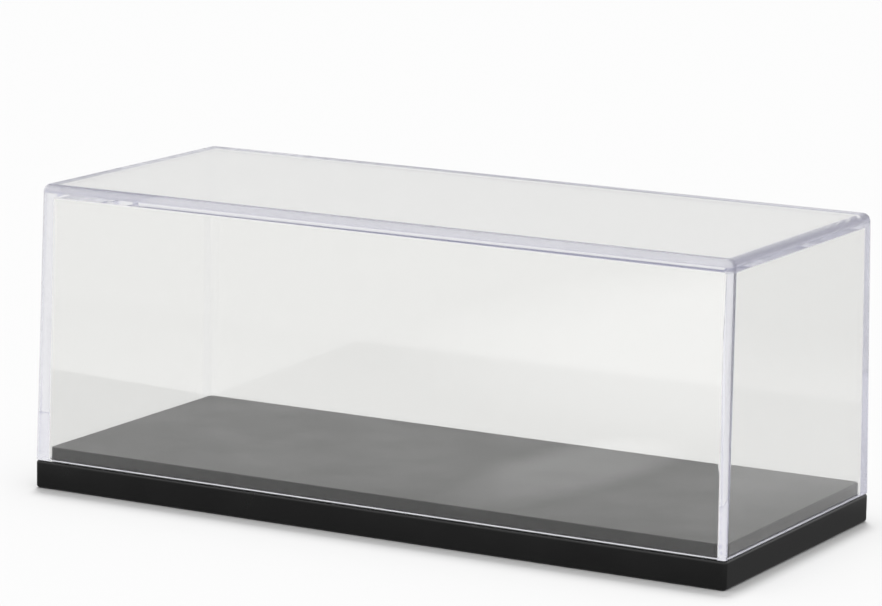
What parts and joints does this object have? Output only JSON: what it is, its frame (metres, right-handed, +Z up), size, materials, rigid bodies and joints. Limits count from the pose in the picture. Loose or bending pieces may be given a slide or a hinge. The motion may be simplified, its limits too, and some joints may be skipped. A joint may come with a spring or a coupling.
{
  "type": "display case",
  "caption": "Low rectangular display case for a scale model: a clear moulded cover lifts straight off a black base with a raised deck.",
  "frame": {"origin": "centre of the footprint, at the surface the case stands on", "axes": "+X along the case's length, +Y from the front to the back, +Z up and the way the cover lifts"},
  "size_m": [0.152, 0.065, 0.0613],
  "materials": {
    "clear_plastic": "polished",
    "black_plastic": "satin"
  },
  "bodies": {
    "base": {"base": "black_plastic"},
    "cover": {"clear_cover": "clear_plastic"}
  },
  "joints": [
    {"name": "cover_lift", "type": "slide", "parent": "base", "child": "cover", "axis": [0, 0, 1], "range_m": [0, 0.06]}
  ]
}
